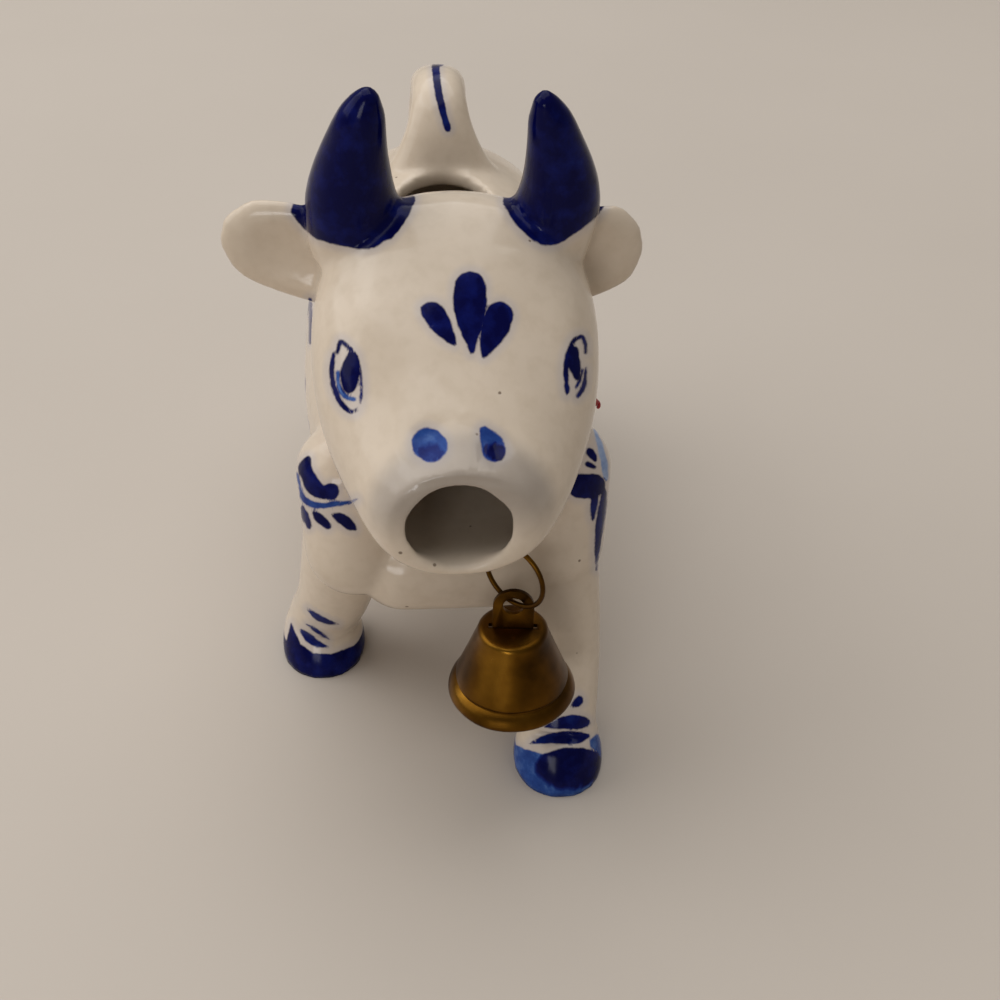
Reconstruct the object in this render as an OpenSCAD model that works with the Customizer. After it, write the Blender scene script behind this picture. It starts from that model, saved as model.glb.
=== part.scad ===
// Cow creamer in tin-glazed earthenware: a standing cow whose open mouth pours and whose tail is the handle,
// with a brass bell that hangs on a wire ring from a red cord round the neck.
// The cow faces -Y, its left side is +X, and its hooves stand on z = 0. Millimetres.

/* [Barrel] */
// Length of the barrel from chest to rump
barrel_len = 107; // [98:1:116]
// Width of the barrel
barrel_w = 51; // [46:0.5:56]
// Height of the barrel
barrel_h = 50; // [46:0.5:54]
// Height of the belly over the ground
belly_z = 25.5; // [23:0.5:28]
// How square the ends of the barrel are (2 is an ellipse)
barrel_square = 2.9; // [2.4:0.1:3.4]
// Wall of the casting
wall = 3; // [2.4:0.1:3.6]
// Width of the filling hole
fill_w = 17.5; // [15:0.5:20]
// Length of the filling hole
fill_len = 21; // [18:0.5:23]

/* [Head] */
// Length of the head from the back of the skull to the lip
head_len = 48; // [46:0.5:50]
// Width of the head across the cheeks
head_w = 42.2; // [39:0.2:44]
// Height of the crown over the chin
head_h = 42; // [39:0.5:44]
// Bore of the mouth, which is the spout
mouth_d = 13.4; // [12:0.1:14.5]
// Radius of the neck
neck_r = 18.5; // [17.5:0.1:19]
// Radius of the forelock ridge on the crown
crown_r = 5; // [4:0.5:6]

/* [Horns and ears] */
// Length of a horn
horn_len = 27.5; // [25:0.5:30]
// Radius of a horn at its root
horn_r = 7.3; // [6.5:0.1:7.8]
// Length of an ear outside the head
ear_len = 17; // [14:0.5:19]
// Width of an ear
ear_w = 15.5; // [13:0.5:17]
// Thickness of an ear
ear_t = 3.4; // [2.8:0.1:4]

/* [Legs] */
// Radius of a leg at its ankle
ankle_r = 6.4; // [5.5:0.1:7]
// Radius of a leg where it meets the barrel
thigh_r = 9; // [8:0.1:10]
// Radius of a hoof at the ground
hoof_r = 7.9; // [7:0.1:8.4]
// Height of a hoof
hoof_h = 8; // [6:0.5:10]

/* [Tail handle] */
// Width of the tail at the top of its arch
tail_w = 10.4; // [9:0.1:12]
// Thickness of the tail at the top of its arch
tail_t = 7.6; // [6.5:0.1:8.5]
// Height of the arch's middle line over the back
tail_rise = 9.2; // [8:0.2:11]

/* [Udder] */
// Radius of the udder
udder_r = 9; // [8:0.5:10]
// Length of a teat
teat_len = 3; // [2:0.5:4]

/* [Cord and ring] */
// Diameter of the neck cord
cord_d = 1.2; // [1:0.1:1.4]
// Diameter of the knot in the cord
knot_d = 3.4; // [3:0.1:4]
// Middle diameter of the wire ring
ring_d = 10.6; // [10:0.1:11]
// Diameter of the ring's wire
ring_wire = 0.8; // [0.7:0.05:0.9]
// Turn of the ring from facing forwards
ring_turn = 42; // [38:1:50]

/* [Bell] */
// Diameter of the bell at its lip
bell_d = 20.2; // [19:0.1:21]
// Height of the bell
bell_h = 13.2; // [12.6:0.1:14]
// Diameter of the bell's flat crown
crown_d = 11; // [10.8:0.1:11.6]
// Thickness of the bell's brass
bell_wall = 0.7; // [0.6:0.05:0.9]
// Turn of the bell from facing forwards
bell_turn = -4.5; // [-8:0.5:8]
// Width of the lug that the bell hangs by
lug_w = 6.3; // [6:0.1:6.8]
// Thickness of the lug
lug_t = 0.8; // [0.7:0.05:1]
// Height of the lug over the crown
lug_h = 7.4; // [7:0.1:8]
// Bore of the hole in the lug for the ring
lug_bore = 3.2; // [3.1:0.1:3.4]
// Diameter of the clapper's ball
ball_d = 4.4; // [4:0.1:5]
// Diameter of the clapper's wire
clapper_wire_d = 0.7; // [0.6:0.05:0.8]

/* [Hidden] */

glaze_white = "#e6ddd0";
cobalt = "#14185c";
brass = "#9a6a1e";
red = "#b01018";
around = 36;        // points round each loft of the casting
limb_around = 24;   // points round a leg, a horn or the tail
gap = 0.3;          // running clearance of what hangs

front_y = -46.5;    // front of the barrel, which the head, the neck and the forelegs keep to
barrel_mid_y = front_y + barrel_len / 2;
rump_y = front_y + barrel_len;
barrel_mid_z = belly_z + barrel_h / 2;
back_z = belly_z + barrel_h;

skull_y = front_y + 25;           // back of the skull
chin_z = back_z - 19.5;           // underside of the chin

// Head sections from the skull to the lip: share of its length, and the top, bottom and half width as shares
// of its height and width
head_shape = [
    [0.00, 0.78, 0.34, 0.20], [0.04, 0.88, 0.22, 0.33], [0.12, 0.945, 0.13, 0.42], [0.25, 0.99, 0.07, 0.485],
    [0.42, 0.935, 0.03, 0.50], [0.58, 0.79, 0.01, 0.475], [0.72, 0.635, 0.00, 0.42], [0.84, 0.53, 0.00, 0.36],
    [0.93, 0.475, 0.01, 0.305], [0.98, 0.445, 0.03, 0.26], [1.00, 0.42, 0.055, 0.225]];
head_steps = 22;

// Middle line of the neck from inside the barrel to inside the head
neck_line = [for (p = [[4.5, -4], [-0.5, 4], [-5.5, 12], [-10.5, 20], [-14.5, 27]])
    [0, skull_y + p[0], chin_z + p[1]]];

function power(v, e) = sign(v) * pow(abs(v), e);
function oval(a, square) = [power(cos(a), 2 / square), power(sin(a), 2 / square)];
function mix(a, b, t) = a + (b - a) * t;

// A value at t between b and c on a smooth curve through a, b, c and d
function curve(a, b, c, d, t) =
    b + (c - a) * t / 2 + (a - 2.5 * b + 2 * c - d / 2) * t * t + (1.5 * (b - c) + (d - a) / 2) * t * t * t;
function along(list, t) = let (last = len(list) - 1, i = min(floor(t * last), last - 1), u = t * last - i)
    curve(list[max(i - 1, 0)], list[i], list[i + 1], list[min(i + 2, last)], u);

// A closed skin over rings that all have as many points
module skin(rings) {
    n = len(rings[0]);
    ends = (len(rings) - 1) * n;
    points = [for (r = rings) each r];
    sides = [for (i = [0:len(rings) - 2]) for (j = [0:n - 1]) let (k = (j + 1) % n)
        each [[i * n + j, (i + 1) * n + j, (i + 1) * n + k], [i * n + j, (i + 1) * n + k, i * n + k]]];
    polyhedron(points, concat([[for (j = [0:n - 1]) j]], sides, [[for (j = [n - 1:-1:0]) ends + j]]),
        convexity = 6);
}

function unit(v) = v / norm(v);

// An oval ring square to the direction dir, of half width r[0] along the reference and half depth r[1]
function tilted_ring(at, dir, r, count, square, reference) = let (
        depth = unit(cross(dir, reference)), width = unit(cross(depth, dir)))
    [for (j = [0:count - 1]) let (p = oval(360 * j / count, square))
        at + width * r[0] * p[0] + depth * r[1] * p[1]];

// A limb through points, with a [half width, half depth] for each
module limb(line, radii, steps, count, square = 2, reference = [1, 0, 0]) {
    skin([for (i = [0:steps]) let (t = i / steps, e = 0.01,
        dir = along(line, min(t + e, 1)) - along(line, max(t - e, 0)))
        tilted_ring(along(line, t), dir, along(radii, t), count, square, reference)]);
}

// Half width, middle and half height of the barrel at y, with its wall taken off where inset is given
function barrel_ring(a, inset) = let (
        s = power(sin(a), 2 / barrel_square),
        y = barrel_mid_y - (barrel_len / 2 - inset) * power(cos(a), 2 / barrel_square))
    [for (j = [0:around - 1]) let (p = oval(-360 * j / around, 2.15))
        [(barrel_w / 2 - inset) * s * p[0], y, barrel_mid_z + (barrel_h / 2 - inset) * s * p[1]]];

module barrel(inset = 0) {
    skin([for (i = [0:16]) barrel_ring(2 + 176 * i / 16, inset)]);
}

// [y, top, bottom, half width] of the head at the share t of its length
function head_at(t) = let (s = along(head_shape, t))
    [skull_y - head_len * s[0], chin_z + head_h * s[1], chin_z + head_h * s[2], head_w * s[3]];
// A point on the head at the share t of its length and the angle a up from its left side
function head_point(t, a, inset = 0) = let (s = head_at(t), p = oval(a, 2.25))
    [(s[3] - inset) * p[0], s[0], (s[1] + s[2]) / 2 + ((s[1] - s[2]) / 2 - inset) * p[1]];

module head(inset = 0) {
    first = inset > 0 ? 2 : 0;
    last = inset > 0 ? head_steps - 2 : head_steps;
    skin([for (i = [first:last]) [for (j = [0:around - 1])
        head_point(i / head_steps, 360 * j / around, inset)]]);
}

module neck(inset = 0) {
    r = neck_r - inset;
    limb(neck_line, [[r + 1.5, r + 4], [r + 0.6, r + 1.5], [r, r - 1], [r, r - 2.5], [r - 2, r - 4]],
        8, around);
}

// Soft bulges where a limb's muscle stands out of the barrel
module muscle(from, to, r1, r2) {
    hull() {
        translate(from) sphere(r = r1, $fn = 24);
        translate(to) sphere(r = r2, $fn = 24);
    }
}

module casting_outside() {
    barrel();
    neck();
    head();
    shoulder_x = barrel_w / 2 - 8;
    for (side = [-1, 1]) {
        muscle([side * shoulder_x, front_y + 12.5, barrel_mid_z - 0.5],
            [side * (shoulder_x - 1), front_y + 9.5, barrel_mid_z - 13.5], 8.2, 8.4);
        muscle([side * (shoulder_x - 1), rump_y - 18.5, barrel_mid_z + 2.5],
            [side * (shoulder_x - 1), rump_y - 18.5, barrel_mid_z - 12.5], 9, 9);
        muscle([side * (head_w / 2 - 11), skull_y - 20.5, chin_z + 16],
            [side * (head_w / 2 - 13.5), skull_y - 35.5, chin_z + 11], 10.5, 8.5);
    }
    brisket = [8.6, front_y + 8.9, belly_z + 8.3];
    muscle([-brisket[0], brisket[1], brisket[2]], brisket, 8.3, 8.3);
    crown = [6, skull_y - 13.5, chin_z + head_h - crown_r];
    muscle([-crown[0], crown[1], crown[2]], crown, crown_r - 0.8, crown_r - 0.8);
    muscle([0, front_y - 2.7, chin_z + 4.2], [0, front_y + 7.2, chin_z - 7.7], 11, 8.6);
}

mouth_mid = [0, skull_y - head_len, chin_z + 9.9];
fill_mid = [0, rump_y - 47.5, back_z];

module casting_inside() {
    barrel(wall);
    neck(wall);
    head(wall);
    // The spout's throat, round and opening a little towards the lip
    translate(mouth_mid) rotate([90, 0, 0]) {
        translate([0, 0, -9]) cylinder(d1 = mouth_d - 1.2, d2 = mouth_d, h = 8.4, $fn = 48);
        translate([0, 0, -0.7]) cylinder(d1 = mouth_d, d2 = mouth_d + 1.4, h = 1.4, $fn = 48);
    }
    translate(fill_mid - [0, 0, 12]) linear_extrude(20) scale([fill_w / fill_len, 1])
        circle(d = fill_len, $fn = 48);
}

module body_casting() color(glaze_white) difference() {
    casting_outside();
    casting_inside();
}

// A leg from its hoof's middle on the ground up to the barrel
module leg(foot, knee, hip) color(glaze_white) difference() {
    union() {
        limb([[foot[0], foot[1] + 1.5, hoof_h - 1], knee, hip],
            [[ankle_r, ankle_r], [ankle_r + 0.4, ankle_r + 0.4], [thigh_r, thigh_r]], 7, limb_around);
        skin([for (i = [0:5]) let (h = i / 5, r = mix(hoof_r, ankle_r, h * h)) [for (j = [0:limb_around - 1])
            let (a = 360 * j / limb_around)
                [foot[0] + r * cos(a), foot[1] + 1.5 * h + (r + 1.2 * (1 - h)) * sin(a), hoof_h * h]]]);
    }
    casting_outside();
}

side_x = barrel_w / 2;
module front_left_leg() leg([side_x - 8.4, front_y - 6], [side_x - 7.7, front_y + 4, belly_z - 4.5],
    [side_x - 10.5, front_y + 14.5, barrel_mid_z - 8.5]);
module front_right_leg() leg([1.2 - side_x, front_y + 24.3], [4.5 - side_x, front_y + 21, belly_z - 7.5],
    [9.5 - side_x, front_y + 17.5, barrel_mid_z - 8.5]);
module hind_left_leg() leg([side_x - 9, rump_y - 11.5], [side_x - 9.5, rump_y - 15.5, belly_z - 7.5],
    [side_x - 11.5, rump_y - 20.5, barrel_mid_z - 6.5]);
module hind_right_leg() leg([9 - side_x, rump_y - 26.5], [9 - side_x, rump_y - 22.5, belly_z - 7.5],
    [11.5 - side_x, rump_y - 20.5, barrel_mid_z - 6.5]);

// A horn that leans out from the crown and curls in to a round tip, from its root, the x of its bow, its tip
// and its stoutness
module horn_form(h) {
    root = h[0];
    bow_x = h[1];
    tip = h[2];
    limb([root, [bow_x, mix(root[1], tip[1], 0.3), mix(root[2], tip[2], 0.33)],
            [mix(bow_x, tip[0], 0.35), mix(root[1], tip[1], 0.65), mix(root[2], tip[2], 0.68)], tip],
        [for (share = [1, 0.96, 0.9, 0.76, 0.6, 0.44, 0.16]) let (r = horn_r * h[3] * share) [r, r]],
        12, limb_around);
}
module horn(h) color(cobalt) difference() {
    horn_form(h);
    casting_outside();
}
horn_root_z = chin_z + head_h - 10;
left_horn_at = [[13.4, skull_y - 9.5, horn_root_z + 1], 15.2,
    [11.7, skull_y - 17, horn_root_z + horn_len - 0.7], 0.92];
right_horn_at = [[-13.7, skull_y - 9.5, horn_root_z + 1], -14.4,
    [-11, skull_y - 17, horn_root_z + horn_len], 1];
module left_horn() horn(left_horn_at);
module right_horn() horn(right_horn_at);

// A broad ear with a round tip, cupped on its front face, that meets the head and the horn h over it
module ear(root, tip, front, h) color(glaze_white) difference() {
    half = ear_w / 2;
    rim = 1.8;
    limb([root, tip], [[ear_t * 0.7, half * 0.95], [ear_t * 0.65, half], [ear_t * 0.6, half],
        [ear_t * 0.55, half * 0.96], [ear_t * 0.5, half * 0.8], [ear_t * 0.3, half * 0.3]],
        12, limb_around, reference = [0, 1, 0]);
    cup_end = mix(root, tip, 0.86);
    lift = front * ear_t * 0.75;
    limb([root + lift, cup_end + lift], [[ear_t * 0.6, half - rim], [ear_t * 0.65, half - rim],
        [ear_t * 0.6, half * 0.94 - rim], [ear_t * 0.2, half * 0.35]],
        9, limb_around, reference = [0, 1, 0]);
    horn_form(h);
    casting_outside();
}
ear_root_z = chin_z + head_h - 13.2;
left_ear_x = 11.6 + ear_len;
right_ear_x = -16.8 - ear_len;
module left_ear() ear([13, skull_y - 9.5, ear_root_z], [left_ear_x, skull_y - 6.5, ear_root_z + 3.2],
    [0.15, -1, 0.25], left_horn_at);
module right_ear() ear([-13, skull_y - 9.5, ear_root_z], [right_ear_x, skull_y - 6.5, ear_root_z + 5.5],
    [-0.15, -1, 0.25], right_horn_at);

// The tail rises from the rump, arches forwards and flares onto the back behind the filling hole
module tail_handle() color(glaze_white) difference() {
    crest = back_z + tail_rise;
    top = [tail_w / 2, tail_t / 2];
    line = [[-6.5, barrel_mid_z + 3.5], [0.5, barrel_mid_z + 10.5], [1, mix(back_z, crest, -0.5)],
        [-5, mix(back_z, crest, 0.3)], [-13.5, mix(back_z, crest, 0.75)], [-21, crest], [-27, crest - 0.6],
        [-30, crest - 5], [-31.3, crest - 10.5], [-32, crest - 16]];
    limb([for (p = line) [0, rump_y + p[0], p[1]]],
        [[8, 8], [6.6, 6], [5.6, 4.8], top, top, top, top, [6.6, 4.4], [9.6, 5.4], [15, 6]],
        27, limb_around, 2.3);
    casting_outside();
}

module udder() color(glaze_white) difference() {
    union() {
        translate([0, rump_y - 36.5, belly_z + 3]) scale([1, 1.15, 0.85]) sphere(r = udder_r, $fn = 30);
        for (x = [-3.4, 3.4], y = [rump_y - 40.5, rump_y - 33]) hull() {
            translate([x, y, belly_z]) sphere(r = 1.9, $fn = 14);
            translate([x * 1.15, y, belly_z - 4 - teat_len / 2]) sphere(r = 1.1, $fn = 14);
        }
    }
    casting_outside();
}

// Route of the cord, told from the back of the skull and the chin: from the knot under the jaw down to the
// ring, then round the throat and the nape and back to the knot
neck_at = [0, skull_y, chin_z];
cord_low = neck_at + [8, -37.5, -3.5];
knot_at = neck_at + [19, -13.5, 9];
cord_down = [[18, -16.5, 7.5], [15.5, -20.5, 5], [14, -24, 3.5], [12.5, -27, 2], [11.5, -30.5, 0],
    [10.5, -34.5, -2.2]];
cord_round = [[3, -38, -2], [-2, -38.5, -1.5], [-6, -36.5, -1], [-9.6, -33.5, -0.3], [-11.7, -29, 1.4],
    [-13.7, -25, 3.1], [-15.5, -21, 5], [-17, -17.5, 6.5], [-18, -13.5, 8.3], [-18.9, -10.5, 9.5],
    [-19.5, -7.5, 11.3], [-19.3, -4, 13.3], [-18.3, -0.5, 15.5], [-16.4, 2.5, 17.5], [-13.4, 5.1, 19.5],
    [-9.5, 8.1, 20.3], [-5, 10.5, 20.6], [0, 11.3, 20.9], [5, 10.5, 20.6], [9.5, 8.1, 20.3],
    [13.4, 5.1, 19.5], [16.4, 2.5, 17.5], [18.3, -0.5, 15.5], [19.3, -4, 13.3], [19.5, -7.5, 11.3],
    [19, -10.5, 10]];
cord_route = [knot_at, for (p = cord_down) neck_at + p, cord_low + [1, 0, 0], cord_low - [1, 0, 0],
    for (p = cord_round) neck_at + p, knot_at];
long_end = [[20.5, -14, 8.5], [22, -13, 7], [23, -12, 5.3]];
short_end = [[19.8, -15.3, 7.8], [19.5, -16.5, 5.5], [19, -17, 3.5]];

module cord_end(points) {
    for (i = [0:len(points) - 1]) hull() {
        translate(i > 0 ? neck_at + points[i - 1] : knot_at) sphere(d = cord_d, $fn = 10);
        translate(neck_at + points[i]) sphere(d = cord_d, $fn = 10);
    }
}

// The neck cord with its knot and the knot's two ends
module neck_cord() color(red) {
    limb(cord_route, [[cord_d / 2, cord_d / 2], [cord_d / 2, cord_d / 2]], 56, 8, reference = [0, -1, 2]);
    hull() for (d = [-0.5, 0.5]) translate(knot_at + d * [0.4, -0.9, 0.5]) sphere(d = knot_d, $fn = 16);
    hull() for (d = [-0.5, 0.5]) translate(knot_at + [0.5, 0, 0.4] + d * [0, 1, 1])
        sphere(d = knot_d * 0.8, $fn = 16);
    cord_end(long_end);
    cord_end(short_end);
}

// The ring hangs on the cord, and its lowest wire carries the lug
ring_top_z = cord_low[2] + cord_d / 2 + gap / 2 + ring_wire / 2;
ring_low_z = ring_top_z - ring_d;

module bell_ring() color(brass) translate([cord_low[0], cord_low[1], ring_top_z - ring_d / 2])
    rotate([90, 0, -ring_turn]) rotate_extrude($fn = 64) translate([ring_d / 2, 0])
        circle(d = ring_wire, $fn = 20);

// The bell is drawn from its crown down, with its crown's top at z = 0
lug_web = 1.4;
ring_over_hole = 0.5;   // the ring crosses the hole aslant, so its wire seats below the hole's top
lug_hole_z = lug_h - lug_web - lug_bore / 2;
crown_z = ring_low_z - ring_over_hole - lug_hole_z;
module on_bell() translate([cord_low[0], cord_low[1], crown_z]) rotate([0, 0, bell_turn]) children();

crown_round = 0.9;
lip_h = 3.3;        // height of the rolled lip under its groove
slot_len = lug_w + 1.2;
slot_w = lug_t + 0.4;
shoulder_w = slot_len + 0.7;
shoulder_h = 1.2;
module bell_shell() color(brass) on_bell() {
    r = bell_d / 2;
    c = crown_d / 2;
    slant = bell_wall * 1.06;
    difference() {
        rotate_extrude($fn = 96) polygon([[0, 0], [c - crown_round, 0], [c - 0.3, -0.3], [c, -crown_round],
            [r - 1.2, lip_h - bell_h], [r - 1.4, lip_h - bell_h - 0.4], [r - 1.2, lip_h - bell_h - 0.8],
            [r - 0.5, 1.6 - bell_h], [r, 0.8 - bell_h], [r, 0.3 - bell_h], [r - 0.3, -bell_h],
            [r - bell_wall, -bell_h], [r - bell_wall - 0.1, 0.9 - bell_h],
            [r - 1.2 - slant, lip_h - bell_h - 0.3], [c - slant, -crown_round - 0.3],
            [c - crown_round, -bell_wall], [0, -bell_wall]]);
        translate([-slot_len / 2, -slot_w / 2, -2]) cube([slot_len, slot_w, 3]);
    }
}

// The lug hangs in the slot of the crown by its shoulders, with a hole for the ring over the crown and a hole
// for the clapper under it
lug_foot = 1.1;
clapper_hole_z = -bell_wall - shoulder_h - 1.4;
clapper_bore = 2;
module bell_lug() color(brass) on_bell() rotate([90, 0, 0]) difference() {
    translate([0, 0, -lug_t / 2]) linear_extrude(lug_t) union() {
        translate([0, lug_h - lug_w / 2]) circle(d = lug_w, $fn = 48);
        translate([-lug_w / 2, -bell_wall - shoulder_h])
            square([lug_w, lug_h - lug_w / 2 + bell_wall + shoulder_h]);
        translate([-shoulder_w / 2, -bell_wall - shoulder_h]) square([shoulder_w, shoulder_h]);
        foot_w = clapper_bore + 2 * lug_foot;
        translate([-foot_w / 2, clapper_hole_z]) square([foot_w, 2]);
        translate([0, clapper_hole_z]) circle(d = foot_w, $fn = 32);
    }
    translate([0, lug_hole_z, -lug_t]) cylinder(d = lug_bore, h = 2 * lug_t, $fn = 40);
    translate([0, clapper_hole_z, -lug_t]) cylinder(d = clapper_bore, h = 2 * lug_t, $fn = 32);
}

// The clapper's wire has an eye through the lug's lower hole and ends in the ball
eye_r = 1.8;
clapper_pivot_z = clapper_hole_z - clapper_bore / 2 + clapper_wire_d / 2 + gap / 2;
ball_z = -bell_h + ball_d / 2 + 0.6;
module clapper_wire() color(brass) on_bell() {
    translate([0, 0, clapper_pivot_z - eye_r]) rotate([0, 90, 0])
        rotate_extrude($fn = 40) translate([eye_r, 0]) circle(d = clapper_wire_d, $fn = 16);
    translate([0, 0, ball_z])
        cylinder(d = clapper_wire_d, h = clapper_pivot_z - 2 * eye_r - ball_z, $fn = 16);
}

module clapper_ball() color(brass) on_bell() difference() {
    translate([0, 0, ball_z]) sphere(d = ball_d, $fn = 48);
    translate([0, 0, ball_z]) cylinder(d = clapper_wire_d + 0.1, h = ball_d, $fn = 24);
}

// The origin is on the ground under the middle of the whole creamer, from ear to ear and from lip to tail
tail_back_y = rump_y + 6.8;
module centred()
    translate([-(left_ear_x + right_ear_x) / 2, -(mouth_mid[1] + tail_back_y) / 2, 0]) children();

centred() body_casting();
centred() front_left_leg();
centred() front_right_leg();
centred() hind_left_leg();
centred() hind_right_leg();
centred() left_horn();
centred() right_horn();
centred() left_ear();
centred() right_ear();
centred() tail_handle();
centred() udder();
centred() neck_cord();
centred() bell_ring();
centred() bell_shell();
centred() bell_lug();
centred() clapper_wire();
centred() clapper_ball();
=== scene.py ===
import math

import bpy
import numpy as np
from mathutils import Matrix, Vector
from mathutils.bvhtree import BVHTree


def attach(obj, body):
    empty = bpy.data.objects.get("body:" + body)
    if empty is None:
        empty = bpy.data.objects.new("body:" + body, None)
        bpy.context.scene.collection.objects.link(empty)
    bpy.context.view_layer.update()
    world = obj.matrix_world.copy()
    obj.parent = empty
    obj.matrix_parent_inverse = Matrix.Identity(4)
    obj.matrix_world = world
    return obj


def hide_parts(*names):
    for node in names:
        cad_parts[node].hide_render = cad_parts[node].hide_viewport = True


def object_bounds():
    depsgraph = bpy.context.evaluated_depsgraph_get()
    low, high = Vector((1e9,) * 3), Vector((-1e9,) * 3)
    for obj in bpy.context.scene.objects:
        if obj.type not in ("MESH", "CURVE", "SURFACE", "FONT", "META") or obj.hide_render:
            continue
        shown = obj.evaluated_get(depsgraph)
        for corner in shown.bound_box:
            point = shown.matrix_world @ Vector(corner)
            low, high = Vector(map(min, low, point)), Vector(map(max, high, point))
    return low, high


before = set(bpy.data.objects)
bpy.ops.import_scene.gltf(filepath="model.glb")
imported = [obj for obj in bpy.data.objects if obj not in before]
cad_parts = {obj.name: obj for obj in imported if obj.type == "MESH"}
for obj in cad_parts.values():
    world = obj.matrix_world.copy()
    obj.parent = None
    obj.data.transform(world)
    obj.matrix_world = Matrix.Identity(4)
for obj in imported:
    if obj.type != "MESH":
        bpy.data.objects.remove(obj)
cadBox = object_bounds()
mm = 0.001
shift = np.array([2.6, 1.1, 0.0])    # the drawing's own coordinates to the model's origin, in mm


def linearColour(hexCode):   # an sRGB hex value as the linear colour that shaders take
    parts = [int(hexCode[i:i + 2], 16) / 255 for i in (1, 3, 5)]
    return [c / 12.92 if c <= 0.04045 else ((c + 0.055) / 1.055) ** 2.4 for c in parts] + [1.0]


def addNode(tree, kind, settings=None, links=None):
    node = tree.nodes.new(kind)
    for key, value in (settings or {}).items():
        if isinstance(key, int) or key in node.inputs:
            node.inputs[key].default_value = value
        else:
            setattr(node, key, value)
    for key, source in (links or {}).items():
        tree.links.new(source, node.inputs[key])
    return node


def newMaterial(name):
    material = bpy.data.materials.new(name)
    material.use_nodes = True
    tree = material.node_tree
    tree.nodes.clear()
    output = addNode(tree, "ShaderNodeOutputMaterial")
    shader = addNode(tree, "ShaderNodeBsdfPrincipled")
    tree.links.new(shader.outputs["BSDF"], output.inputs["Surface"])
    return material, tree, shader


def onlySelect(*pieces):
    bpy.ops.object.select_all(action="DESELECT")
    for piece in pieces:
        piece.select_set(True)
    bpy.context.view_layer.objects.active = pieces[-1]


def applyModifier(piece, kind, **settings):
    onlySelect(piece)
    bpy.ops.object.modifier_add(type=kind)
    modifier = piece.modifiers[-1]
    for key, value in settings.items():
        setattr(modifier, key, value)
    bpy.ops.object.modifier_apply(modifier=modifier.name)


def copyOfNodes(name, nodeNames):   # merged copies of CAD nodes, joined as one new piece
    copies = []
    for nodeName in nodeNames:
        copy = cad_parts[nodeName].copy()
        copy.data = copy.data.copy()
        copy.parent = None
        for key in list(copy.keys()):
            del copy[key]
        copy.hide_render = copy.hide_viewport = False
        bpy.context.scene.collection.objects.link(copy)
        copies.append(copy)
    onlySelect(*copies)
    if len(copies) > 1:
        bpy.ops.object.join()
    piece = bpy.context.view_layer.objects.active
    piece.name = piece.data.name = name
    piece.data.materials.clear()
    bpy.ops.object.mode_set(mode="EDIT")
    bpy.ops.mesh.select_all(action="SELECT")
    bpy.ops.mesh.remove_doubles(threshold=2e-6)
    bpy.ops.object.mode_set(mode="OBJECT")
    return piece


def coordinates(piece):   # the mesh's points, in mm
    values = np.zeros(len(piece.data.vertices) * 3, np.float32)
    piece.data.vertices.foreach_get("co", values)
    return values.reshape(-1, 3).astype(float) * 1000


def setCoordinates(piece, points):
    piece.data.vertices.foreach_set("co", (points * mm).astype(np.float32).ravel())
    piece.data.update()


def normalsOf(piece):
    values = np.zeros(len(piece.data.vertices) * 3, np.float32)
    piece.data.vertices.foreach_get("normal", values)
    return values.reshape(-1, 3).astype(float)


def smoothLine(points, perPart=6):   # a Catmull-Rom line through the points
    p = np.array(points, float)
    if len(p) < 3:
        return p
    q = np.vstack([2 * p[0] - p[1], p, 2 * p[-1] - p[-2]])
    out = []
    for i in range(1, len(q) - 2):
        for t in np.arange(perPart) / perPart:
            a, b, c, d = q[i - 1], q[i], q[i + 1], q[i + 2]
            out.append(b + (c - a) * t / 2 + (a - 2.5 * b + 2 * c - d / 2) * t ** 2
                       + (1.5 * (b - c) + (d - a) / 2) * t ** 3)
    return np.vstack(out + [p[-1]])


def strokeDistance(points, line, widths):   # how far points are outside a line whose half width changes
    best = np.full(len(points), 1e9)
    for a, b, ra, rb in zip(line[:-1], line[1:], widths[:-1], widths[1:]):
        d = b - a
        t = np.clip((points - a) @ d / max(d @ d, 1e-12), 0, 1)
        away = np.linalg.norm(points - a - t[:, None] * d, axis=1) - (ra + t * (rb - ra))
        best = np.minimum(best, away)
    return best


# The photograph's camera: degrees down, degrees of roll, the cow's turn, and place in mm before that turn
view = {"focalPixels": 1400.0, "pitch": 38.0, "roll": 1.2, "turn": -4.5, "place": (10.2, -216.0, 186.0),
        "pixels": 1000, "sensor": 36}

pitch, roll, turn = (math.radians(view[k]) for k in ("pitch", "roll", "turn"))
forward = Vector((0, math.cos(pitch), -math.sin(pitch)))
above = Vector((0, math.sin(pitch), math.cos(pitch)))
aside = Vector((1, 0, 0))
right = aside * math.cos(roll) + above * math.sin(roll)
upward = above * math.cos(roll) - aside * math.sin(roll)
cameraPlace = Matrix((right, upward, -forward)).transposed().to_4x4()
cameraPlace.translation = Vector(view["place"]) * mm
cameraPlace = Matrix.Translation(Vector(shift) * mm) @ Matrix.Rotation(turn, 4, "Z") @ cameraPlace
cameraData = bpy.data.cameras.new("camera")
cameraData.sensor_width = view["sensor"]
cameraData.sensor_fit = "HORIZONTAL"
cameraData.lens = view["focalPixels"] / view["pixels"] * view["sensor"]
cameraData.clip_start = 0.01
camera = bpy.data.objects.new("camera", cameraData)
bpy.context.scene.collection.objects.link(camera)
camera.matrix_world = cameraPlace
bpy.context.scene.camera = camera
eye = np.array(cameraPlace.translation) * 1000
toCamera = np.array(cameraPlace.inverted())


def toPixels(points):   # photograph's pixel of each point and its depth in mm
    local = (points * mm) @ toCamera[:3, :3].T + toCamera[:3, 3]
    depth = -local[:, 2]
    f, half = view["focalPixels"], view["pixels"] / 2
    return np.stack([half + f * local[:, 0] / depth, half - f * local[:, 1] / depth], 1), depth * 1000


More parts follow.
